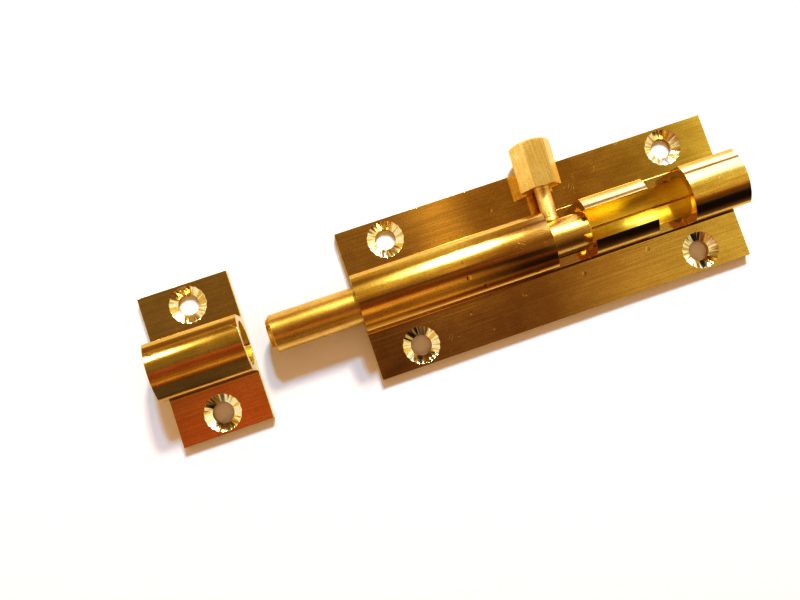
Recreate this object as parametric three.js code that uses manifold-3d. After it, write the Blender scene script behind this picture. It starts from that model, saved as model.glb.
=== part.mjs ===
// A surface-mounted barrel bolt with its keeper, cut from one brass extrusion.
//
// The frame: +X runs along the bolt away from the keeper, +Y towards the side
// that the knob lies on, +Z up from the back faces. The origin is the centre
// of the body's back face. Everything is in millimetres.

import * as THREE from 'three';
import { mergeVertices } from 'three/addons/utils/BufferGeometryUtils.js';
import Module from 'manifold-3d';

const wasm = await Module();
wasm.setup();

// ---------------------------------------------------------------- dimensions

// The extrusion: a flat base with a flat-sided, round-topped barrel on it.
const BASE_WIDTH = 29.5;
const BASE_THICKNESS = 2.0;
const BARREL_HALF_WIDTH = 5.4;
const BARREL_TOP_RADIUS = 6.9;
const BARREL_TOP_CENTRE_Z = 5.2;
const BORE_RADIUS = 4.3;
const BORE_CENTRE_Z = 6.2;

// The two lengths cut from it.
const BODY_LENGTH = 76.2;
const KEEPER_LENGTH = 17.6;
const KEEPER_GAP = 21.8;

// The countersunk screw holes.
const HOLE_DIAMETER = 4.0;
const COUNTERSINK_DIAMETER = 7.2;
const COUNTERSINK_DEPTH = 0.9;
const HOLE_FROM_BODY_END = 9.1;
const HOLE_FROM_AXIS = 10.8;

// The milled window: a slot along the top, crossed by a slot at each end.
const CROSS_SLOT_WIDTH = 7.5;
const FRONT_SLOT_START = 37.6;
const STROKE = 20.0;
const CROSS_SLOT_FLOOR_Z = 3.9;
const TOP_SLOT_HALF_WIDTH = 3.05;

// The bolt, thrown out towards the keeper.
const ROD_RADIUS = 3.57;
const ROD_AXIS_Z = 5.75;
const ROD_PROJECTION = 17.4;
const ROD_LENGTH = 63.2;
const ROD_TIP_CHAMFER = 0.9;
const ROD_BACK_CHAMFER = 0.2;

// The hexagonal knob and its turned shank, lying over towards +Y. The knob
// isn't quite square to the bolt: it leans towards +X at its outer end.
const KNOB_FROM_BODY_END = 39.75;
const KNOB_LEAN = THREE.MathUtils.degToRad(3);
const KNOB_ACROSS_FLATS = 7.05;
const KNOB_START = 10.1;
const KNOB_END = 19.4;
const KNOB_CHAMFER_ANGLE = THREE.MathUtils.degToRad(30);
const KNOB_END_FACE_RADIUS = 2.9;
const SHANK_RADIUS = 1.5;
const SHANK_CLEARANCE = 0.3;

// How finely round shapes are cut into flats, and how far a cutter overruns.
const ROUND_STEPS = 48;
const HOLE_STEPS = 32;
const OVERRUN = 1.0;

// Half the angle from one corner of a hexagon to the next.
const HALF_HEXAGON_STEP = Math.PI / 6;

const BODY_START = -BODY_LENGTH / 2;
const KEEPER_START = BODY_START - KEEPER_GAP - KEEPER_LENGTH / 2;

// ------------------------------------------------------------------- helpers

// A closed manifold solid from any closed three.js geometry.
function solid(geometry) {
  const plain = geometry.clone();
  plain.deleteAttribute('normal');
  plain.deleteAttribute('uv');
  const merged = mergeVertices(plain, 1e-4);
  return new wasm.Manifold(new wasm.Mesh({
    numProp: 3,
    vertProperties: new Float32Array(merged.attributes.position.array),
    triVerts: new Uint32Array(merged.index.array),
  }));
}

// The three.js geometry of a manifold solid.
function geometryOf(manifold) {
  const mesh = manifold.getMesh();
  const geometry = new THREE.BufferGeometry();
  geometry.setAttribute('position', new THREE.BufferAttribute(mesh.vertProperties, mesh.numProp));
  geometry.setIndex(new THREE.BufferAttribute(mesh.triVerts, 1));
  geometry.computeVertexNormals();
  return geometry;
}

// A box given by its lowest and highest corners.
function boxSolid(low, high) {
  const size = high.map((value, axis) => value - low[axis]);
  const geometry = new THREE.BoxGeometry(...size);
  geometry.translate(...low.map((value, axis) => value + size[axis] / 2));
  return solid(geometry);
}

// A turned shape: radius and height pairs spun about Z.
function turned(profile, steps) {
  const points = profile.map(([radius, height]) => new THREE.Vector2(radius, height));
  const geometry = new THREE.LatheGeometry(points, steps);
  geometry.rotateX(Math.PI / 2);
  return geometry;
}

function brass(color, roughness) {
  return new THREE.MeshStandardMaterial({ color, roughness, metalness: 1.0 });
}

// ------------------------------------------------------------- the extrusion

// The cross-section, drawn with its width along x and its height along y.
function sectionShape() {
  const half = BASE_WIDTH / 2;
  const cornerAngle = Math.acos(BARREL_HALF_WIDTH / BARREL_TOP_RADIUS);
  const shape = new THREE.Shape();
  shape.moveTo(-half, 0);
  shape.lineTo(half, 0);
  shape.lineTo(half, BASE_THICKNESS);
  shape.lineTo(BARREL_HALF_WIDTH, BASE_THICKNESS);
  shape.absarc(0, BARREL_TOP_CENTRE_Z, BARREL_TOP_RADIUS, cornerAngle, Math.PI - cornerAngle);
  shape.lineTo(-BARREL_HALF_WIDTH, BASE_THICKNESS);
  shape.lineTo(-half, BASE_THICKNESS);
  shape.closePath();
  const bore = new THREE.Path();
  bore.absarc(0, BORE_CENTRE_Z, BORE_RADIUS, 0, 2 * Math.PI);
  shape.holes.push(bore);
  return shape;
}

// A length of the extrusion along X, starting at x = 0.
function extrusion(length) {
  const geometry = new THREE.ExtrudeGeometry(sectionShape(), {
    depth: length,
    bevelEnabled: false,
    curveSegments: ROUND_STEPS / 2,
  });
  geometry.rotateX(Math.PI / 2);
  geometry.rotateZ(Math.PI / 2);
  return solid(geometry);
}

// The cutter for one countersunk hole, standing on the back face at (x, y).
function countersinkCutter(x, y) {
  const holeRadius = HOLE_DIAMETER / 2;
  const topRadius = COUNTERSINK_DIAMETER / 2;
  const topZ = BASE_THICKNESS + COUNTERSINK_DEPTH;
  const geometry = turned([
    [0, -OVERRUN],
    [holeRadius, -OVERRUN],
    [holeRadius, BASE_THICKNESS - COUNTERSINK_DEPTH],
    [2 * topRadius - holeRadius, topZ],
    [0, topZ],
  ], HOLE_STEPS);
  geometry.translate(x, y, 0);
  return solid(geometry);
}

function drilled(blank, xPositions) {
  let result = blank;
  for (const x of xPositions) {
    for (const side of [-1, 1]) {
      result = result.subtract(countersinkCutter(x, side * HOLE_FROM_AXIS));
    }
  }
  return result;
}

// ---------------------------------------------------------------- the pieces

function bodyGeometry() {
  const rearSlotEnd = FRONT_SLOT_START + STROKE + CROSS_SLOT_WIDTH;
  const topZ = BARREL_TOP_CENTRE_Z + BARREL_TOP_RADIUS + OVERRUN;
  const sideY = BARREL_HALF_WIDTH + OVERRUN;
  let result = drilled(extrusion(BODY_LENGTH), [HOLE_FROM_BODY_END, BODY_LENGTH - HOLE_FROM_BODY_END]);
  result = result.subtract(boxSolid(
    [FRONT_SLOT_START, -TOP_SLOT_HALF_WIDTH, BORE_CENTRE_Z],
    [rearSlotEnd, TOP_SLOT_HALF_WIDTH, topZ],
  ));
  for (const start of [FRONT_SLOT_START, FRONT_SLOT_START + STROKE]) {
    result = result.subtract(boxSolid(
      [start, -sideY, CROSS_SLOT_FLOOR_Z],
      [start + CROSS_SLOT_WIDTH, sideY, topZ],
    ));
  }
  return geometryOf(result);
}

function keeperGeometry() {
  return geometryOf(drilled(extrusion(KEEPER_LENGTH), [KEEPER_LENGTH / 2]));
}

// The rod along X, starting at x = 0, with both ends chamfered.
function rodGeometry() {
  const geometry = turned([
    [0, 0],
    [ROD_RADIUS - ROD_TIP_CHAMFER, 0],
    [ROD_RADIUS, ROD_TIP_CHAMFER],
    [ROD_RADIUS, ROD_LENGTH - ROD_BACK_CHAMFER],
    [ROD_RADIUS - ROD_BACK_CHAMFER, ROD_LENGTH],
    [0, ROD_LENGTH],
  ], ROUND_STEPS);
  geometry.rotateY(Math.PI / 2);
  return geometryOf(solid(geometry));
}

// The knob along Z, measured from the rod's axis. Its hexagon has a flat
// facing +Y and a flat facing -Y, and its outer end is chamfered on a lathe.
function knobGeometry() {
  const cornerRadius = KNOB_ACROSS_FLATS / Math.sqrt(3);
  const headLength = KNOB_END - KNOB_START;
  const hexagon = new THREE.CylinderGeometry(cornerRadius, cornerRadius, headLength, 6);
  hexagon.rotateX(Math.PI / 2);
  hexagon.rotateZ(HALF_HEXAGON_STEP);
  hexagon.translate(0, 0, KNOB_START + headLength / 2);
  const outerRadius = cornerRadius + OVERRUN;
  const chamferDrop = (outerRadius - KNOB_END_FACE_RADIUS) * Math.tan(KNOB_CHAMFER_ANGLE);
  const chamfer = solid(turned([
    [0, KNOB_START - OVERRUN],
    [outerRadius, KNOB_START - OVERRUN],
    [outerRadius, KNOB_END - chamferDrop],
    [KNOB_END_FACE_RADIUS, KNOB_END],
    [0, KNOB_END],
  ], ROUND_STEPS));
  const shank = solid(turned([
    [0, ROD_RADIUS + SHANK_CLEARANCE],
    [SHANK_RADIUS, ROD_RADIUS + SHANK_CLEARANCE],
    [SHANK_RADIUS, KNOB_START + OVERRUN],
    [0, KNOB_START + OVERRUN],
  ], HOLE_STEPS));
  return geometryOf(solid(hexagon).intersect(chamfer).add(shank));
}

// ------------------------------------------------------------------ assembly

function piece(name, geometry, material) {
  const mesh = new THREE.Mesh(geometry, material);
  mesh.name = name;
  return mesh;
}

const barrelBolt = new THREE.Group();

const body = piece('bolt_body', bodyGeometry(), brass(0xb8862f, 0.3));
body.position.set(BODY_START, 0, 0);
barrelBolt.add(body);

const keeper = piece('keeper', keeperGeometry(), brass(0xa87c2c, 0.32));
keeper.position.set(KEEPER_START - KEEPER_LENGTH / 2, 0, 0);
barrelBolt.add(keeper);

// The rod and the knob share the bolt's own frame, on the rod's axis.
const bolt = new THREE.Group();
bolt.position.set(BODY_START, 0, ROD_AXIS_Z);
barrelBolt.add(bolt);

const rod = piece('bolt_rod', rodGeometry(), brass(0xc8993a, 0.22));
rod.position.set(-ROD_PROJECTION, 0, 0);
bolt.add(rod);

const knob = piece('knob', knobGeometry(), brass(0xd0a040, 0.25));
knob.position.set(KNOB_FROM_BODY_END, 0, 0);
knob.rotation.set(-Math.PI / 2, KNOB_LEAN, 0);
bolt.add(knob);

export default barrelBolt;
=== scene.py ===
"""The brass surface barrel bolt and its keeper, on a pale floor, in a studio that the metal mirrors."""

import math
import random

import bmesh
import bpy
from mathutils import Matrix, Vector


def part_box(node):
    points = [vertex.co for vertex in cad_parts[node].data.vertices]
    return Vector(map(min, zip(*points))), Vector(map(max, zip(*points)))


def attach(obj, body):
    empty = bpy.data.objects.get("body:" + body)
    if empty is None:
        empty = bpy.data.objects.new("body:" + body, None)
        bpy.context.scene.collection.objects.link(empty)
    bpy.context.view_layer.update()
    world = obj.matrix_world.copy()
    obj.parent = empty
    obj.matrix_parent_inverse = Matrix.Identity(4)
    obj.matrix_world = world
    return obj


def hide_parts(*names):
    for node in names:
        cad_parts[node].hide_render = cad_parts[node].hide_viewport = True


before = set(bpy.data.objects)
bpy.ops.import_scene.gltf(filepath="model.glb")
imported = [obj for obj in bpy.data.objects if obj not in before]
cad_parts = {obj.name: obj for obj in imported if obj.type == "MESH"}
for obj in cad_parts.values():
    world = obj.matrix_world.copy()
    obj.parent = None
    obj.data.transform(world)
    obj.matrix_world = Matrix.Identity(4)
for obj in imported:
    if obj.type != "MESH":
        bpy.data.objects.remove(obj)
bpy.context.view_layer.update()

MM = 0.001

# ---------------------------------------------------------------- dimensions
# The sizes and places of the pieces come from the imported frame. What the
# frame doesn't hold is the fine form of the extrusion and of the cuts.

BODY_LOW, BODY_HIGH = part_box("bolt_body")
KEEPER_LOW, KEEPER_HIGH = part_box("keeper")
ROD_LOW, ROD_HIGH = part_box("bolt_rod")

BASE_THICKNESS = 2.0 * MM
BARREL_HALF_WIDTH = 5.4 * MM
BARREL_TOP_RADIUS = 6.9 * MM
BARREL_TOP_CENTRE_Z = 5.2 * MM
BORE_RADIUS = 4.3 * MM
BORE_CENTRE_Z = 6.2 * MM
FOOT_FILLET = 0.4 * MM
SHOULDER_ROUND = 0.45 * MM
SEAM_HALF_WIDTH = 0.22 * MM
SEAM_DEPTH = 0.25 * MM

HOLE_RADIUS = 2.0 * MM
COUNTERSINK_RADIUS = 3.6 * MM
COUNTERSINK_DEPTH = 0.9 * MM
COUNTERSINK_FACETS = 38
CHATTER_HEIGHT = 0.06 * MM
# The share of countersink wedges that get the darker drawn brass: painted dark reflections among the
# bright cut wedges.
DARK_WEDGE_SHARE = 0.3
HOLE_FROM_BODY_END = 9.1 * MM
HOLE_FROM_AXIS = 10.8 * MM

CROSS_SLOT_WIDTH = 7.5 * MM
FRONT_SLOT_START = 37.6 * MM
STROKE = 20.0 * MM
CROSS_SLOT_FLOOR_Z = 3.9 * MM
TOP_SLOT_HALF_WIDTH = 3.05 * MM
BURRS_PER_CORNER = 7
BURR_TOP_Z = 8.6 * MM
BURR_SIZES = (0.08 * MM, 0.22 * MM)
BURR_HALF_WIDTH = 0.04 * MM
BURR_ROOT_DEPTH = 0.05 * MM
BURR_REACH = 0.8

ROD_RADIUS = (ROD_HIGH[1] - ROD_LOW[1]) / 2
ROD_AXIS_Z = (ROD_HIGH[2] + ROD_LOW[2]) / 2
ROD_TIP_CHAMFER = 0.9 * MM
ROD_BACK_CHAMFER = 0.2 * MM
KNOB_X = BODY_LOW[0] + 39.75 * MM
KNOB_LEAN = math.radians(3)
KNOB_CORNER_RADIUS = 7.05 * MM / math.sqrt(3)
KNOB_START = 10.1 * MM
KNOB_END = 19.4 * MM
KNOB_END_FACE_RADIUS = 2.9 * MM
KNOB_CHAMFER_SLOPE = math.tan(math.radians(30))
SHANK_RADIUS = 1.5 * MM
SHANK_GROOVE = 0.05 * MM
SHANK_PITCH = 0.32 * MM
SHANK_IN_ROD = 0.3 * MM
CROWN_HEIGHT = 0.55 * MM
CROWN_IN_ROD = 0.5 * MM
CROWN_MIDDLE_HEIGHT = 0.1 * MM
CROWN_WIDTHS = (0.03, 0.14)
CROWN_POINTS = 26

# How far cutters overrun, how edges are broken and shaded, and how finely
# round shapes are cut into flats.
OVERRUN = 1.0 * MM
WELD_DISTANCE = 0.002 * MM
FLAT_ANGLE = math.radians(0.5)
EDGE_BREAK = 0.09 * MM
BREAK_ANGLE = math.radians(28)
SHADE_ANGLE = math.radians(50)
ROUND_STEPS = 96
SHANK_STEPS = 64
SMALL_ARC_STEPS = 6


# -------------------------------------------------------------- mesh helpers

def mesh_object(name, vertices, faces):
    """A new object with its place in its mesh."""
    mesh = bpy.data.meshes.new(name)
    mesh.from_pydata([tuple(v) for v in vertices], [], faces)
    mesh.validate()
    obj = bpy.data.objects.new(name, mesh)
    bpy.context.scene.collection.objects.link(obj)
    return obj


def arc(centre, radius, start, end, steps):
    """Points along an arc in a plane, from angle start to angle end."""
    points = []
    for step in range(steps + 1):
        angle = start + (end - start) * step / steps
        points.append((centre[0] + radius * math.cos(angle), centre[1] + radius * math.sin(angle)))
    return points


def prism(name, section, low_x, high_x):
    """A closed section in the YZ plane, drawn out along X."""
    count = len(section)
    vertices = [(low_x, y, z) for y, z in section] + [(high_x, y, z) for y, z in section]
    faces = [tuple(reversed(range(count))), tuple(range(count, 2 * count))]
    for i in range(count):
        j = (i + 1) % count
        faces.append((i, j, count + j, count + i))
    return mesh_object(name, vertices, faces)


def lathe(name, profile, steps):
    """A closed shape turned about Z from (radius, height) pairs, the first and last on the axis."""
    vertices = [(0, 0, profile[0][1])]
    rings = []
    for radius, height in profile[1:-1]:
        ring = []
        for step in range(steps):
            angle = 2 * math.pi * step / steps
            ring.append(len(vertices))
            vertices.append((radius * math.cos(angle), radius * math.sin(angle), height))
        rings.append(ring)
    top = len(vertices)
    vertices.append((0, 0, profile[-1][1]))
    faces = []
    for step in range(steps):
        after = (step + 1) % steps
        faces.append((0, rings[0][after], rings[0][step]))
        faces.append((top, rings[-1][step], rings[-1][after]))
        for lower, upper in zip(rings, rings[1:]):
            faces.append((lower[step], lower[after], upper[after], upper[step]))
    return mesh_object(name, vertices, faces)


def box(name, low, high):
    section = [(low[1], low[2]), (high[1], low[2]), (high[1], high[2]), (low[1], high[2])]
    return prism(name, section, low[0], high[0])


def combine(target, cutter, operation):
    """Applies one boolean to the target's mesh and deletes the cutter."""
    modifier = target.modifiers.new("cut", "BOOLEAN")
    modifier.operation = operation
    modifier.solver = "EXACT"
    modifier.object = cutter
    apply_modifiers(target)
    bpy.data.objects.remove(cutter)


def apply_modifiers(obj):
    graph = bpy.context.evaluated_depsgraph_get()
    made = bpy.data.meshes.new_from_object(obj.evaluated_get(graph))
    made.name = obj.name
    obj.modifiers.clear()
    old = obj.data
    obj.data = made
    bpy.data.meshes.remove(old)


# The material places of an extrusion's faces, and what tells them apart: how far
# a face's middle may lie from the bore's wall, and how steep a countersink is.
PLAIN, BORE, CUT = 0, 1, 2
BORE_REACH = 0.12 * MM
BORE_END_NORMAL = 0.3
COUNTERSINK_NORMALS = (0.5, 0.97)


def mark_cuts(obj):
    """Gives the bore and the countersinks of an extrusion their own material places."""
    if "holes" not in obj:
        return
    holes = list(obj["holes"])
    steepest, flattest = COUNTERSINK_NORMALS
    rng = random.Random(3)
    for polygon in obj.data.polygons:
        centre, normal = polygon.center, polygon.normal
        from_bore = math.hypot(centre.y, centre.z - BORE_CENTRE_Z)
        if abs(normal.x) < BORE_END_NORMAL and abs(from_bore - BORE_RADIUS) < BORE_REACH:
            polygon.material_index = BORE
        if centre.z < BASE_THICKNESS and steepest < normal.z < flattest:
            for x, y in zip(holes[::2], holes[1::2]):
                if math.hypot(centre.x - x, centre.y - y) < COUNTERSINK_RADIUS:
                    # Painted reflection: a share of the wedges, picked at random, get the darker drawn
                    # brass instead of the bright cut brass.
                    painted_dark_wedge = rng.random() < DARK_WEDGE_SHARE
                    polygon.material_index = PLAIN if painted_dark_wedge else CUT
                    polygon.use_smooth = False


def finish_metal(obj):
    """Breaks the sharp edges and sets the normals, so that flats stay flat."""
    work = bmesh.new()
    work.from_mesh(obj.data)
    bmesh.ops.remove_doubles(work, verts=work.verts, dist=WELD_DISTANCE)
    bmesh.ops.dissolve_limit(work, angle_limit=FLAT_ANGLE, verts=work.verts, edges=work.edges)
    bmesh.ops.recalc_face_normals(work, faces=work.faces)
    work.to_mesh(obj.data)
    work.free()
    bevel = obj.modifiers.new("edge_break", "BEVEL")
    bevel.width = EDGE_BREAK
    bevel.segments = 2
    bevel.limit_method = "ANGLE"
    bevel.angle_limit = BREAK_ANGLE
    bevel.miter_outer = "MITER_ARC"
    apply_modifiers(obj)
    for polygon in obj.data.polygons:
        polygon.use_smooth = True
    mark_cuts(obj)
    obj.data.set_sharp_from_angle(angle=SHADE_ANGLE)
    obj.modifiers.new("flats", "WEIGHTED_NORMAL").keep_sharp = True
    apply_modifiers(obj)


# ------------------------------------------------------------- the extrusion

def extrusion_section():
    """The outline of the extrusion: base, foot fillets, side walls, rounded shoulders and top."""
    half = (BODY_HIGH[1] - BODY_LOW[1]) / 2
    right = [(half, 0), (half, BASE_THICKNESS)]
    foot_centre = (BARREL_HALF_WIDTH + FOOT_FILLET, BASE_THICKNESS + FOOT_FILLET)
    right += arc(foot_centre, FOOT_FILLET, -math.pi / 2, -math.pi, SMALL_ARC_STEPS)
    # The shoulder: the side wall turns into the top over a small radius.
    round_y = BARREL_HALF_WIDTH - SHOULDER_ROUND
    inner = BARREL_TOP_RADIUS - SHOULDER_ROUND
    round_z = BARREL_TOP_CENTRE_Z + math.sqrt(inner ** 2 - round_y ** 2)
    turn = math.atan2(round_z - BARREL_TOP_CENTRE_Z, round_y)
    right += arc((round_y, round_z), SHOULDER_ROUND, 0, turn, SMALL_ARC_STEPS)
    top = arc((0, BARREL_TOP_CENTRE_Z), BARREL_TOP_RADIUS, turn, math.pi - turn, ROUND_STEPS // 2)
    left = [(-y, z) for y, z in reversed(right)]
    return right + top[1:-1] + left


def bore_section():
    """The bore, with the narrow seam along its floor."""
    gap = math.asin(SEAM_HALF_WIDTH / BORE_RADIUS)
    start, end = -math.pi / 2 + gap, 3 * math.pi / 2 - gap
    points = arc((0, BORE_CENTRE_Z), BORE_RADIUS, start, end, ROUND_STEPS)
    points.append((0, BORE_CENTRE_Z - BORE_RADIUS - SEAM_DEPTH))
    return points


def extrusion(name, low_x, high_x):
    blank = prism(name, extrusion_section(), low_x, high_x)
    combine(blank, prism("bore", bore_section(), low_x - OVERRUN, high_x + OVERRUN), "DIFFERENCE")
    return blank


def countersink(x, y, seed):
    """The cutter for one hole. It chattered, so its cone is made of uneven wedges."""
    rng = random.Random(seed)
    step = 2 * math.pi / COUNTERSINK_FACETS
    low_z = BASE_THICKNESS - COUNTERSINK_DEPTH
    high_z = BASE_THICKNESS + COUNTERSINK_DEPTH
    top_radius = 2 * COUNTERSINK_RADIUS - HOLE_RADIUS
    levels = ((HOLE_RADIUS, -OVERRUN), (HOLE_RADIUS, low_z), (top_radius, high_z))
    vertices = []
    for i in range(COUNTERSINK_FACETS):
        angle = (i + rng.uniform(-0.3, 0.3)) * step
        hop = (-1) ** i * rng.uniform(0.35, 1) * CHATTER_HEIGHT
        for level, (radius, height) in enumerate(levels):
            rise = hop if level else 0
            vertices.append((x + radius * math.cos(angle), y + radius * math.sin(angle), height + rise))
    faces = []
    for i in range(COUNTERSINK_FACETS):
        here, after = 3 * i, 3 * ((i + 1) % COUNTERSINK_FACETS)
        for level in (0, 1):
            faces.append((here + level, after + level, after + level + 1))
            faces.append((here + level, after + level + 1, here + level + 1))
    for level, turn in ((0, -1), (2, 1)):
        faces.append(tuple(3 * i + level for i in range(COUNTERSINK_FACETS))[::turn])
    return mesh_object("countersink", vertices, faces)


def drill(piece, places):
    for seed, (x, y) in enumerate(places):
        combine(piece, countersink(x, y, seed), "DIFFERENCE")
    piece["holes"] = [value for place in places for value in place]


def add_burrs(piece, corners):
    """Tiny splinters left by the milling cutter on the outer corners of the cross slots."""
    rng = random.Random(11)
    work = bmesh.new()
    work.from_mesh(piece.data)
    for x, y in corners:
        outward = math.copysign(1, y)
        for _ in range(BURRS_PER_CORNER):
            z = rng.uniform(CROSS_SLOT_FLOOR_Z, BURR_TOP_Z)
            size = rng.uniform(*BURR_SIZES)
            root = y - outward * BURR_ROOT_DEPTH
            tip_x = x + rng.uniform(-BURR_HALF_WIDTH, BURR_HALF_WIDTH)
            tip_z = z + rng.uniform(-size, size)
            points = [
                (x - BURR_HALF_WIDTH, root, z - size),
                (x + BURR_HALF_WIDTH, root, z - size),
                (x, root, z + size),
                (tip_x, y + outward * size * BURR_REACH, tip_z),
            ]
            corner_vertices = [work.verts.new(point) for point in points]
            for triple in ((0, 1, 2), (0, 3, 1), (1, 3, 2), (2, 3, 0)):
                face = work.faces.new([corner_vertices[i] for i in triple])
                face.material_index = CUT
    work.to_mesh(piece.data)
    work.free()


# ---------------------------------------------------------------- the pieces

def make_body():
    low, high = BODY_LOW[0], BODY_HIGH[0]
    body = extrusion("body_extrusion", low, high)
    places = [(x, side * HOLE_FROM_AXIS)
              for x in (low + HOLE_FROM_BODY_END, high - HOLE_FROM_BODY_END)
              for side in (-1, 1)]
    drill(body, places)
    start = low + FRONT_SLOT_START
    end = start + STROKE + CROSS_SLOT_WIDTH
    top = BODY_HIGH[2] + OVERRUN
    side = BARREL_HALF_WIDTH + OVERRUN
    combine(body, box("top_slot", (start, -TOP_SLOT_HALF_WIDTH, BORE_CENTRE_Z),
                      (end, TOP_SLOT_HALF_WIDTH, top)), "DIFFERENCE")
    for slot in (start, start + STROKE):
        combine(body, box("cross_slot", (slot, -side, CROSS_SLOT_FLOOR_Z),
                          (slot + CROSS_SLOT_WIDTH, side, top)), "DIFFERENCE")
    finish_metal(body)
    edges = [slot + offset for slot in (start, start + STROKE) for offset in (0, CROSS_SLOT_WIDTH)]
    add_burrs(body, [(x, side * BARREL_HALF_WIDTH) for x in edges for side in (-1, 1)])
    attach(body, "base")
    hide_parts("bolt_body")
    return body


def make_keeper():
    keeper = extrusion("keeper_extrusion", KEEPER_LOW[0], KEEPER_HIGH[0])
    middle = (KEEPER_LOW[0] + KEEPER_HIGH[0]) / 2
    drill(keeper, [(middle, side * HOLE_FROM_AXIS) for side in (-1, 1)])
    finish_metal(keeper)
    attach(keeper, "base")
    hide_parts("keeper")
    return keeper


def make_rod():
    length = ROD_HIGH[0] - ROD_LOW[0]
    rod = lathe("round_bolt", [
        (0, 0),
        (ROD_RADIUS - ROD_TIP_CHAMFER, 0),
        (ROD_RADIUS, ROD_TIP_CHAMFER),
        (ROD_RADIUS, length - ROD_BACK_CHAMFER),
        (ROD_RADIUS - ROD_BACK_CHAMFER, length),
        (0, length),
    ], ROUND_STEPS)
    place = Matrix.Translation((ROD_LOW[0], 0, ROD_AXIS_Z)) @ Matrix.Rotation(math.pi / 2, 4, "Y")
    rod.data.transform(place)
    finish_metal(rod)
    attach(rod, "bolt")
    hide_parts("bolt_rod")
    return rod


def shank_profile():
    """The shank from inside the rod to inside the knob, with fine grooves round it."""
    low_z = ROD_RADIUS - SHANK_IN_ROD
    high_z = KNOB_START + OVERRUN
    profile = [(0, low_z), (SHANK_RADIUS, low_z)]
    height = ROD_RADIUS + CROWN_HEIGHT
    while height + SHANK_PITCH < KNOB_START:
        profile.append((SHANK_RADIUS, height))
        profile.append((SHANK_RADIUS - SHANK_GROOVE, height + SHANK_PITCH / 2))
        height += SHANK_PITCH
    profile += [(SHANK_RADIUS, KNOB_START), (SHANK_RADIUS, high_z), (0, high_z)]
    return profile


def crown():
    """The ragged rim of burrs round the foot of the shank."""
    rng = random.Random(5)
    low_z = ROD_RADIUS - CROWN_IN_ROD
    vertices = [(0, 0, low_z), (0, 0, ROD_RADIUS + CROWN_MIDDLE_HEIGHT)]
    faces = []
    for i in range(CROWN_POINTS):
        angle = 2 * math.pi * (i + rng.uniform(-0.3, 0.3)) / CROWN_POINTS
        radius = SHANK_RADIUS + rng.uniform(*CROWN_WIDTHS) * MM
        height = ROD_RADIUS + rng.uniform(0.15, 1.0) * CROWN_HEIGHT
        vertices.append((radius * math.cos(angle), radius * math.sin(angle), low_z))
        vertices.append((radius * math.cos(angle), radius * math.sin(angle), height))
    for i in range(CROWN_POINTS):
        here, after = 2 + 2 * i, 2 + 2 * ((i + 1) % CROWN_POINTS)
        faces.append((0, after, here))
        faces.append((1, here + 1, after + 1))
        faces.append((here, after, after + 1))
        faces.append((here, after + 1, here + 1))
    return mesh_object("crown", vertices, faces)


def make_knob():
    corners = [k * math.pi / 3 for k in range(6)]
    vertices = [(KNOB_CORNER_RADIUS * math.cos(angle), KNOB_CORNER_RADIUS * math.sin(angle), z)
                for z in (KNOB_START, KNOB_END) for angle in corners]
    faces = [tuple(reversed(range(6))), tuple(range(6, 12))]
    faces += [(k, (k + 1) % 6, 6 + (k + 1) % 6, 6 + k) for k in range(6)]
    knob = mesh_object("hex_knob", vertices, faces)
    outer = KNOB_CORNER_RADIUS + OVERRUN
    combine(knob, lathe("chamfer", [
        (0, KNOB_START - OVERRUN),
        (outer, KNOB_START - OVERRUN),
        (outer, KNOB_END - (outer - KNOB_END_FACE_RADIUS) * KNOB_CHAMFER_SLOPE),
        (KNOB_END_FACE_RADIUS, KNOB_END),
        (0, KNOB_END),
    ], ROUND_STEPS), "INTERSECT")
    combine(knob, lathe("shank", shank_profile(), SHANK_STEPS), "UNION")
    combine(knob, crown(), "UNION")
    lean = Matrix.Rotation(-math.pi / 2, 4, "X") @ Matrix.Rotation(KNOB_LEAN, 4, "Y")
    knob.data.transform(Matrix.Translation((KNOB_X, 0, ROD_AXIS_Z)) @ lean)
    finish_metal(knob)
    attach(knob, "knob")
    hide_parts("knob")
    return knob


# ------------------------------------------------------------------ materials

class Nodes:
    """A short way to write a node tree."""

    def __init__(self, tree):
        self.tree = tree

    def add(self, kind, inputs=(), **settings):
        """A node. Its settings are set first, then its inputs, by name or by number."""
        node = self.tree.nodes.new(kind)
        for key, value in settings.items():
            setattr(node, key, value)
        for key, value in dict(inputs).items():
            if isinstance(value, bpy.types.NodeSocket):
                self.tree.links.new(value, node.inputs[key])
            else:
                node.inputs[key].default_value = value
        return node

    def math(self, operation, *values):
        return self.add("ShaderNodeMath", dict(enumerate(values)), operation=operation).outputs[0]

    def mix(self, factor, low, high, blend="MIX"):
        node = self.add("ShaderNodeMix", data_type="RGBA", blend_type=blend)
        for key, value in (("Factor", factor), ("A", low), ("B", high)):
            socket = [i for i in node.inputs if i.name == key and i.enabled][0]
            if isinstance(value, bpy.types.NodeSocket):
                self.tree.links.new(value, socket)
            else:
                socket.default_value = value
        return [o for o in node.outputs if o.enabled][0]

    def ramp(self, value, low, high):
        """0 below low, 1 above high, and smooth between them."""
        node = self.add("ShaderNodeMapRange", {"Value": value, "From Min": low, "From Max": high},
                        interpolation_type="SMOOTHSTEP")
        return node.outputs["Result"]


def rgb(red, green, blue):
    return (red, green, blue, 1)


# How the brass is marked. Lengths and depths are in millimetres.
NOISE_ROUGHNESS = 0.6
SCRATCH_LENGTH = 2.6
SCRATCH_WIDTH = 0.05
SCRATCH_TURNS = (0.62, -1.05)
SCRATCH_DEPTH = 0.003
SPECK_SPACING = 3.4
SPECK_SHARE = 0.42
SPECK_DEPTH = 0.012
STREAK_SHARE = 0.25
STREAK_SHADE = 0.8
GRAIN_SHARE = 0.42
GRAIN_SHADE = 0.75


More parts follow.
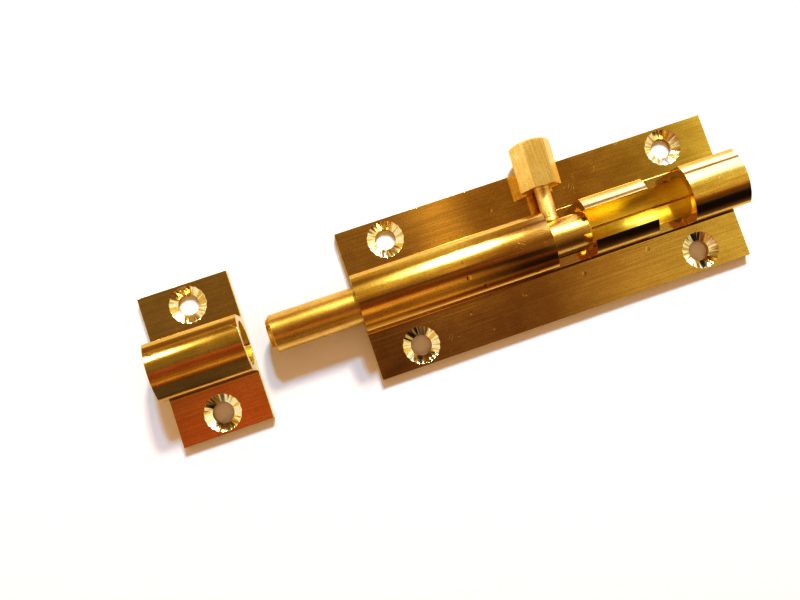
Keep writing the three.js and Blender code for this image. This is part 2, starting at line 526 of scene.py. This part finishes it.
class Metal(Nodes):
    """The nodes of one metal, in millimetres of its piece's own space."""

    def __init__(self, name):
        self.material = bpy.data.materials.new(name)
        self.material.use_nodes = True
        super().__init__(self.material.node_tree)
        self.shader = self.tree.nodes["Principled BSDF"]
        self.place = self.add("ShaderNodeTexCoord").outputs["Object"]

    def noise(self, sizes, detail, shift, turn=0.0):
        """Noise whose lumps have the given sizes in mm along X, Y and Z."""
        turned = self.add("ShaderNodeMapping", {
            "Vector": self.place,
            "Rotation": (0, 0, turn),
            "Location": (shift * MM, shift * MM, 0),
        }).outputs[0]
        scaled = self.add("ShaderNodeMapping", {
            "Vector": turned,
            "Scale": [1000 / size for size in sizes],
        }).outputs[0]
        node = self.add("ShaderNodeTexNoise", {
            "Vector": scaled, "Scale": 1.0, "Detail": detail, "Roughness": NOISE_ROUGHNESS})
        return node.outputs["Fac"]

    def scratches(self, turn, shift):
        """Short straight scratches that lie one way, 0 or 1."""
        lines = self.noise((SCRATCH_LENGTH, SCRATCH_WIDTH, SCRATCH_LENGTH), 1.0, shift, turn)
        patches = self.noise((5, 5, 5), 1.0, shift + 31)
        fine = self.ramp(lines, 0.70, 0.74)
        return self.math("MULTIPLY", fine, self.ramp(patches, 0.66, 0.70))

    def specks(self, shift):
        """Small round dents, 0 or 1, far apart."""
        placed = self.add("ShaderNodeMapping", {
            "Vector": self.place,
            "Location": (shift * MM, 0, shift * MM),
            "Scale": [1000 / SPECK_SPACING] * 3,
        }).outputs[0]
        cells = self.add("ShaderNodeTexVoronoi", {"Vector": placed, "Scale": 1.0})
        near = self.ramp(cells.outputs["Distance"], 0.16, 0.06)
        chosen = self.add("ShaderNodeSeparateColor", {0: cells.outputs["Color"]}).outputs[0]
        return self.math("MULTIPLY", near, self.math("GREATER_THAN", chosen, 1 - SPECK_SHARE))


def along(axis, long, across):
    """Lump sizes for lines that lie along one axis."""
    return [long if i == axis else across for i in range(3)]


def shaded(tint, shade):
    return rgb(*[shade * value for value in tint])


def brass(name, axis, shift, clean, worn, roughness, anisotropy, line_depth, mottle):
    """Drawn brass: lines along one axis, faint tarnish, specks and a few scratches."""
    m = Metal(name)
    shader = m.shader
    shader.inputs["Metallic"].default_value = 1.0
    shader.inputs["Anisotropic"].default_value = anisotropy
    tangent = m.add("ShaderNodeTangent", direction_type="RADIAL", axis="XYZ"[axis])
    m.tree.links.new(tangent.outputs[0], shader.inputs["Tangent"])

    fine = m.noise(along(axis, 9, 0.16), 2.0, shift)
    medium = m.noise(along(axis, 26, 0.7), 3.0, shift + 7)
    broad = m.noise(along(axis, 60, 3.0), 2.0, shift + 13)
    cloud = m.noise((6, 5, 5), 4.0, shift + 19)
    grit = m.noise((0.34, 0.28, 0.28), 2.0, shift + 23)
    specks = m.specks(shift)
    one_way, other_way = [m.scratches(turn, shift + 41 * i) for i, turn in enumerate(SCRATCH_TURNS)]
    scratches = m.math("MAXIMUM", one_way, other_way)

    tone = m.math("ADD", m.math("MULTIPLY", cloud, 0.5), m.math("MULTIPLY", fine, 0.5))
    color = m.mix(m.ramp(tone, 0.40, 0.60), rgb(*worn), rgb(*clean))
    streaks = m.math("MULTIPLY", m.ramp(medium, 0.48, 0.62), STREAK_SHARE)
    color = m.mix(streaks, color, shaded(worn, STREAK_SHADE))
    grains = m.math("MULTIPLY", m.ramp(grit, 0.45, 0.70), GRAIN_SHARE)
    color = m.mix(grains, color, shaded(worn, GRAIN_SHADE))
    color = m.mix(m.math("MULTIPLY", scratches, 0.3), color, rgb(*SCRATCHED))
    m.tree.links.new(color, shader.inputs["Base Color"])

    rough = m.math("ADD", roughness - 0.05, m.math("MULTIPLY", medium, 0.05))
    rough = m.math("ADD", rough, m.math("MULTIPLY", cloud, 0.06))
    rough = m.math("ADD", rough, m.math("MULTIPLY", scratches, 0.2))
    m.tree.links.new(rough, shader.inputs["Roughness"])

    layers = ((fine, line_depth), (medium, 8 * line_depth), (broad, 12 * line_depth),
              (grit, mottle), (specks, -SPECK_DEPTH), (scratches, -SCRATCH_DEPTH))
    height = 0.0
    for layer, depth in layers:
        height = m.math("ADD", m.math("MULTIPLY", layer, depth), height)
    bump = m.add("ShaderNodeBump", {"Strength": 1.0, "Distance": MM, "Height": height})
    m.tree.links.new(bump.outputs[0], shader.inputs["Normal"])
    return m.material


def paint(obj, *materials):
    """The materials go to the places that mark_cuts gave out."""
    places = [polygon.material_index for polygon in obj.data.polygons]
    obj.data.materials.clear()
    for material in materials:
        obj.data.materials.append(material)
    for polygon, place in zip(obj.data.polygons, places):
        polygon.material_index = min(place, len(materials) - 1)


# ------------------------------------------------------------------- the studio
# A direction is given by two angles in degrees: around the bolt's axis, from
# straight up towards +Y, and along it, towards +X.

def direction(around, along_axis):
    around, along_axis = math.radians(around), math.radians(along_axis)
    flat = math.cos(along_axis)
    return Vector((math.sin(along_axis), flat * math.sin(around), flat * math.cos(around)))


FLOOR_HALF_SIZE = 1.5
FLOOR_Z = -0.02 * MM
FLOOR_GRAIN = 900.0
FLOOR_TINTS = ((0.90, 0.89, 0.87), (0.94, 0.93, 0.92))


def floor_material():
    material = bpy.data.materials.new("pale_floor")
    material.use_nodes = True
    n = Nodes(material.node_tree)
    shader = material.node_tree.nodes["Principled BSDF"]
    place = n.add("ShaderNodeTexCoord").outputs["Object"]
    paper = n.add("ShaderNodeTexNoise", {"Vector": place, "Scale": FLOOR_GRAIN, "Detail": 3.0})
    color = n.mix(paper.outputs["Fac"], *[rgb(*tint) for tint in FLOOR_TINTS])
    n.tree.links.new(color, shader.inputs["Base Color"])
    shader.inputs["Roughness"].default_value = 0.7
    shader.inputs["Specular IOR Level"].default_value = 0.2
    return material


def make_floor():
    size = FLOOR_HALF_SIZE
    corners = [(-size, -size, 0), (size, -size, 0), (size, size, 0), (-size, size, 0)]
    floor = mesh_object("floor", corners, [(0, 1, 2, 3)])
    floor.location.z = FLOOR_Z
    paint(floor, floor_material())


def area_light(name, around, along_axis, size, radiance, color, mirrored):
    """A soft light a metre off that faces the bolt. The metal mirrors it, or else it lights the floor."""
    data = bpy.data.lights.new(name, "AREA")
    data.shape = "RECTANGLE"
    data.size, data.size_y = size
    data.energy = radiance * math.pi * size[0] * size[1]
    data.color = color
    light = bpy.data.objects.new(name, data)
    towards = direction(around, along_axis)
    light.location = towards
    side = Vector((0, math.cos(math.radians(around)), -math.sin(math.radians(around))))
    across = side.cross(towards).normalized()
    light.rotation_euler = Matrix((across, towards.cross(across), towards)).transposed().to_euler()
    light.visible_camera = False
    light.visible_glossy = mirrored
    light.visible_diffuse = not mirrored
    bpy.context.scene.collection.objects.link(light)


BLACK = (0.04, 0.03, 0.03)
MAROON = (0.14, 0.05, 0.03)
UMBER = (0.38, 0.17, 0.06)
BROWN = (0.48, 0.29, 0.12)
RUST = (0.54, 0.27, 0.12)
OLIVE = (0.27, 0.23, 0.19)
KHAKI = (0.53, 0.44, 0.22)
OCHRE = (0.60, 0.42, 0.15)
AMBER = (1.00, 0.74, 0.35)
GOLD = (0.78, 0.64, 0.30)
STRAW = (0.95, 0.88, 0.55)
CREAM = (1.08, 1.20, 1.20)
WHITE = (1.90, 2.30, 4.40)

# The plain parts of the studio: what the metal mirrors far to the left and the
# right, what lights the floor, and what the camera sees behind it.
SKY = rgb(1.25, 1.28, 1.25)
SKY_SHARE = 0.72
AMBIENT = rgb(0.82, 0.59, 0.39)
BACKDROP = rgb(0.92, 0.92, 0.92)

# The studio as the metal mirrors it: bands along five arcs over the bolt. Each
# arc has its own angle towards +X and runs from the horizon at -Y over the top
# to the horizon at +Y.
#
# This is not a plain studio light. The mirror images in the reference photo were
# turned into directions and colours, and the bands, the ceiling and the windows
# were chosen from these. A measuring script turned the mirror images in the
# reference photo into directions and colours. Only glossy rays see them. The
# floor is lit separately, by plain light.
ARCS = (
    (-11, ((-96, RUST), (-88, MAROON), (-82, OLIVE), (-52, OLIVE), (-42, UMBER), (-34, AMBER),
           (-29, OCHRE), (-20, RUST), (-6, RUST), (10, KHAKI), (34, KHAKI), (42, GOLD),
           (49, STRAW), (54, KHAKI), (62, BROWN), (68, GOLD), (75, BROWN), (96, KHAKI), (104, CREAM))),
    (2, ((-96, OCHRE), (-86, GOLD), (-77, UMBER), (-70, AMBER), (-62, OCHRE), (-56, BROWN),
         (-44, BROWN), (-36, AMBER), (-27, AMBER), (-20, UMBER), (-10, UMBER), (10, OCHRE), (20, GOLD),
         (32, GOLD), (42, STRAW), (52, STRAW), (58, KHAKI), (68, BROWN), (80, GOLD), (100, STRAW))),
    (7, ((-96, GOLD), (-82, UMBER), (-76, UMBER), (-70, AMBER), (-62, OCHRE), (-44, OCHRE),
         (-35, AMBER), (-28, AMBER), (-21, UMBER), (-14, UMBER), (-8, BROWN), (12, GOLD), (24, STRAW),
         (38, CREAM), (54, CREAM), (63, GOLD), (78, STRAW), (92, CREAM))),
    (13, ((-96, BROWN), (-90, BROWN), (-82, MAROON), (-70, UMBER), (-60, BLACK), (-46, MAROON),
          (-38, UMBER), (-29, BLACK), (-21, BLACK), (-14, UMBER), (-5, BROWN), (12, BROWN),
          (24, OCHRE), (36, OCHRE), (46, GOLD), (54, BROWN), (68, BROWN), (76, OCHRE), (96, OCHRE))),
    (20, ((-96, OLIVE), (-84, OLIVE), (-76, MAROON), (-70, BLACK), (-50, BLACK), (-44, OLIVE),
          (-34, UMBER), (-28, OCHRE), (-18, STRAW), (-5, STRAW), (12, STRAW), (26, CREAM),
          (36, WHITE), (60, WHITE), (65, BROWN), (69, BROWN), (74, WHITE), (96, WHITE))),
)

# The ceiling, which the flat base mirrors: two strips along X, one over each
# side of the base, as bands from -X to +X.
NEAR_CEILING = ((-13, (0.66, 0.28, 0.16)), (-9, (0.80, 0.31, 0.18)), (-1.5, (0.66, 0.42, 0.20)),
                (1, (0.15, 0.06, 0.05)), (5, (0.38, 0.25, 0.17)), (9, (0.30, 0.17, 0.13)),
                (14, (0.42, 0.28, 0.18)), (18, (0.80, 0.68, 0.50)), (26, (0.88, 0.84, 0.58)))
FAR_CEILING = ((-13, (0.42, 0.36, 0.27)), (-6, (0.44, 0.36, 0.25)), (4, (0.50, 0.36, 0.21)),
               (6.6, (0.52, 0.38, 0.22)), (8.0, (1.55, 1.28, 0.75)), (9.6, (0.54, 0.39, 0.18)),
               (13, (0.48, 0.32, 0.12)), (18, (0.48, 0.32, 0.11)), (22, (0.56, 0.46, 0.20)),
               (25, (0.74, 0.74, 0.42)), (27, (1.2, 1.2, 0.85)))
NEAR_EDGE, MIDDLE_EDGE, FAR_EDGE = -5, 3, 11

# Past these angles along the bolt the bands fade into a plain bright sky.
SKY_FADES = ((-20, -35), (30, 42))


def color_bands(nodes, angle, stops):
    """Colours by an angle in degrees between -180 and 180."""
    turn = nodes.math("ADD", nodes.math("DIVIDE", angle, 360), 0.5)
    node = nodes.add("ShaderNodeValToRGB", {"Fac": turn})
    elements = node.color_ramp.elements
    while len(elements) < len(stops):
        elements.new(1.0)
    for element, (place, tint) in zip(elements, stops):
        element.position = place / 360 + 0.5
        element.color = rgb(*tint)
    return node.outputs["Color"]


def make_world():
    """A studio painted by direction for the metal to mirror, and plain soft light for the floor."""
    world = bpy.data.worlds.new("studio")
    world.use_nodes = True
    n = Nodes(world.node_tree)
    place = n.add("ShaderNodeTexCoord").outputs["Generated"]
    x, y, z = n.add("ShaderNodeSeparateXYZ", {0: place}).outputs
    around = n.math("DEGREES", n.math("ARCTAN2", y, z))
    along_axis = n.math("DEGREES", n.math("ARCSINE", x))

    middles = [middle for middle, _ in ARCS]
    color = color_bands(n, around, ARCS[0][1])
    for before, (middle, stops) in zip(middles, ARCS[1:]):
        bands = color_bands(n, around, stops)
        color = n.mix(n.ramp(along_axis, before, middle), color, bands)
    ceiling = n.mix(n.ramp(around, MIDDLE_EDGE - 1, MIDDLE_EDGE + 1),
                    color_bands(n, along_axis, NEAR_CEILING), color_bands(n, along_axis, FAR_CEILING))
    inside = n.math("MULTIPLY", n.ramp(around, NEAR_EDGE - 1, NEAR_EDGE + 2),
                    n.ramp(around, FAR_EDGE + 3, FAR_EDGE))
    color = n.mix(inside, color, ceiling)
    for start, end in SKY_FADES:
        color = n.mix(n.math("MULTIPLY", n.ramp(along_axis, start, end), SKY_SHARE), color, SKY)
    path = n.add("ShaderNodeLightPath").outputs
    plain = n.mix(path["Is Camera Ray"], AMBIENT, BACKDROP)
    color = n.mix(path["Is Glossy Ray"], plain, color)
    background = world.node_tree.nodes["Background"]
    n.tree.links.new(color, background.inputs["Color"])
    bpy.context.scene.world = world


CAMERA_LENS = 37.16
CAMERA_PLACE = Vector((-40.78, -12.33, 160.08)) * MM
CAMERA_TURN = (5.018, -2.355, -18.846)


def make_camera():
    data = bpy.data.cameras.new("camera")
    data.sensor_width = 36.0
    data.lens = CAMERA_LENS
    data.clip_start = 0.005
    data.clip_end = 20
    camera = bpy.data.objects.new("camera", data)
    camera.location = CAMERA_PLACE
    camera.rotation_euler = [math.radians(angle) for angle in CAMERA_TURN]
    bpy.context.scene.collection.objects.link(camera)
    bpy.context.scene.camera = camera


# Daylight and lamplight. The metal mirrors the three windows, which were placed
# by the photo's highlights. The other two lights are for the floor.
DAYLIGHT = (0.85, 0.94, 1.0)
BLUE_DAYLIGHT = (0.22, 0.56, 1.0)
LAMPLIGHT = (1.0, 0.90, 0.78)

# The base colours of the brass: drawn, turned and freshly cut.
CLEAN = (0.90, 0.67, 0.26)
WORN = (0.79, 0.56, 0.19)
PALE = (1.0, 0.83, 0.42)
FRESH = (0.97, 0.86, 0.60)
# The bore's two colours are painted light: a brighter, yellower brass that stands in for the glow of
# light bouncing round inside the bore.
BORE_GLOW_YELLOW = (1.0, 0.86, 0.20)
BORE_GLOW_AMBER = (0.97, 0.74, 0.13)
SCRATCHED = (1.0, 0.86, 0.55)

make_camera()
make_floor()
make_world()
area_light("window", 46, 7.6, (0.045, 0.28), 100, DAYLIGHT, mirrored=True)
area_light("second_window", 46, -19, (0.06, 0.10), 110, DAYLIGHT, mirrored=True)
area_light("right_window", 34, 21, (0.12, 0.30), 8, DAYLIGHT, mirrored=True)
area_light("cool_light", 38, 7, (0.08, 0.08), 330, BLUE_DAYLIGHT, mirrored=False)
area_light("warm_light", 43, 15, (0.10, 0.10), 165, LAMPLIGHT, mirrored=False)

extruded = brass("extruded_brass", axis=0, shift=0, clean=CLEAN, worn=WORN,
                 roughness=0.12, anisotropy=0.5, line_depth=0.0010, mottle=0.0009)
keeper_brass = brass("keeper_brass", axis=0, shift=57, clean=CLEAN, worn=WORN,
                     roughness=0.12, anisotropy=0.5, line_depth=0.0010, mottle=0.0009)
# The bore's brass is rougher than the rest, which is real. It is also brighter and yellower, which is a
# painted glow of light bouncing inside the bore.
bore_brass_painted_glow = brass("bore_brass_painted_glow", axis=0, shift=71, clean=BORE_GLOW_YELLOW, worn=BORE_GLOW_AMBER,
                   roughness=0.42, anisotropy=0.0, line_depth=0.0010, mottle=0.0030)
cut_brass = brass("cut_brass", axis=2, shift=83, clean=FRESH, worn=FRESH,
                  roughness=0.15, anisotropy=0.0, line_depth=0.0005, mottle=0.0006)
turned = brass("turned_brass", axis=0, shift=91, clean=CLEAN, worn=WORN,
               roughness=0.27, anisotropy=0.4, line_depth=0.0010, mottle=0.0020)
knob_brass = brass("knob_brass", axis=1, shift=23, clean=PALE, worn=CLEAN,
                   roughness=0.36, anisotropy=0.5, line_depth=0.0030, mottle=0.0012)

paint(make_body(), extruded, bore_brass_painted_glow, cut_brass)
paint(make_keeper(), keeper_brass, bore_brass_painted_glow, cut_brass)
paint(make_rod(), turned)
paint(make_knob(), knob_brass)

view = bpy.context.scene.view_settings
view.view_transform = "Standard"
view.exposure = 0.0
view.gamma = 0.56

bpy.context.view_layer.update()
